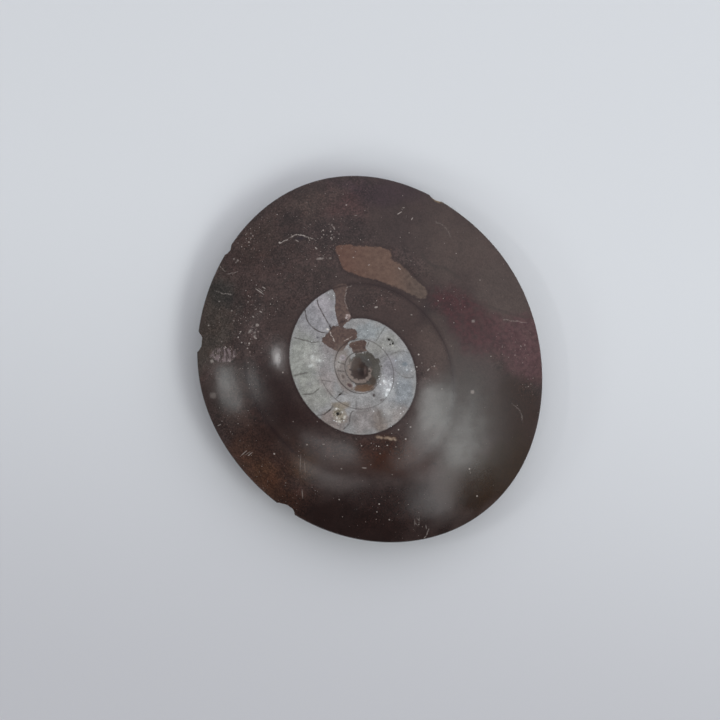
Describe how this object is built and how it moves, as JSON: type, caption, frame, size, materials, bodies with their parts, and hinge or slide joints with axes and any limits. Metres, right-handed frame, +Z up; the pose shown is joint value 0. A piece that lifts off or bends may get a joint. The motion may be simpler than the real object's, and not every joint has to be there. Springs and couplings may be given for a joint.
{
  "type": "ammonite fossil",
  "caption": "Polished ammonite fossil: a domed lens of dark brown stone with a pale chambered coil sunk in its top and a flat foot to lie on.",
  "frame": {"origin": "middle of the stone's box seen from above, on the plane of the flat foot it lies on", "axes": "+Z up out of the polished side, +Y towards the end where the outer whorl meets the coil, along the longer side, +X to the right of it"},
  "size_m": [0.078, 0.083, 0.0193],
  "materials": {
    "stone": "gloss"
  },
  "bodies": {
    "root": {"ammonite": "stone"}
  },
  "joints": []
}
